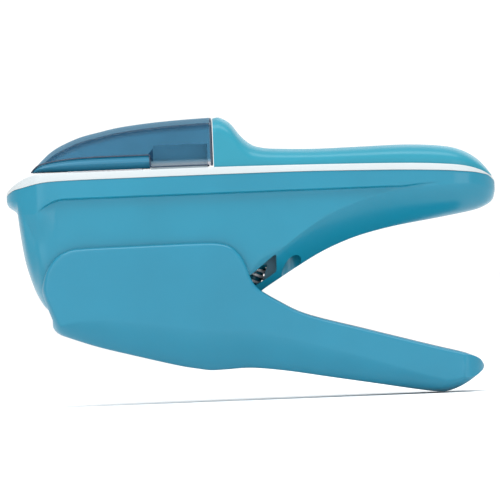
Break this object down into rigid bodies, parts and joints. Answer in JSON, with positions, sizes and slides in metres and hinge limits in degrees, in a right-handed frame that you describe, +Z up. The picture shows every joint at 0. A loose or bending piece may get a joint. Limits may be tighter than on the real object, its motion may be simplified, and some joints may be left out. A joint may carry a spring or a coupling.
{
  "type": "staple-free paper binder",
  "caption": "Plier-type staple-free paper binder with a squeeze handle, a clear window over the jaw and a punch driven by a rocker lever.",
  "frame": {"origin": "centre of the bounding box's bottom, on the middle plane, under the squeeze handle", "axes": "+X from the nose to the tail, +Y across the tool, +Z up, normal to the paper table"},
  "size_m": [0.15, 0.036, 0.0868],
  "materials": {
    "teal_plastic": "smooth moulded plastic, satin gloss",
    "handle_plastic": "smooth moulded plastic, satin gloss",
    "white_plastic": "smooth white moulded plastic",
    "window": "clear smoky blue plastic",
    "steel": "plated steel",
    "blade_steel": "ground tool steel",
    "spring_wire": "drawn spring wire"
  },
  "bodies": {
    "body": {"body_shell": "teal_plastic", "chassis_frame": "white_plastic", "grip_cover": "teal_plastic", "window_cover": "window", "upper_jaw": "teal_plastic", "upper_die_plate": "steel", "lower_die_plate": "steel", "guide_frame": "white_plastic", "handle_pivot_pin": "steel", "rocker_pivot_pin": "steel", "case_screws": "steel", "jaw_screws": "steel", "guide_screws": "steel", "return_spring": "spring_wire", "carriage_springs": "spring_wire"},
    "handle": {"handle_shell": "handle_plastic", "drive_bracket": "steel", "drive_pin": "steel", "drive_pin_clips": "spring_wire", "bracket_screws": "steel"},
    "rocker": {"rocker_lever": "steel"},
    "carriage": {"punch_carriage": "steel", "tongue_punch": "blade_steel", "slit_blade": "blade_steel", "crosshead_pin": "steel", "fold_arm_pin": "steel"},
    "folder": {"fold_arm": "blade_steel"}
  },
  "joints": [
    {"name": "handle_squeeze", "type": "hinge", "parent": "body", "child": "handle", "pos_m": [-0.0528, 0, 0.0356], "axis": [0, -1, 0], "range_deg": [0, 15], "stiffness_Nm_per_rad": 1.9, "springref_deg": -11.46, "deforming": ["return_spring"]},
    {"name": "rocker_turn", "type": "hinge", "parent": "body", "child": "rocker", "pos_m": [-0.009, 0, 0.047], "axis": [0, 1, 0], "range_deg": [0, 13.3]},
    {"name": "carriage_lift", "type": "slide", "parent": "body", "child": "carriage", "axis": [0, 0, 1], "range_m": [0, 0.0079], "deforming": ["carriage_springs"]},
    {"name": "fold_arm_turn", "type": "hinge", "parent": "carriage", "child": "folder", "pos_m": [-0.0436, 0, 0.053], "axis": [0, 1, 0], "range_deg": [0, 14.2]}
  ],
  "couplings": [
    {"joint": "rocker_turn", "follows": "handle_squeeze", "ratio": 0.8781},
    {"joint": "carriage_lift", "follows": "handle_squeeze", "m_per_rad": 0.029794},
    {"joint": "fold_arm_turn", "follows": "handle_squeeze", "ratio": 0.9333}
  ]
}
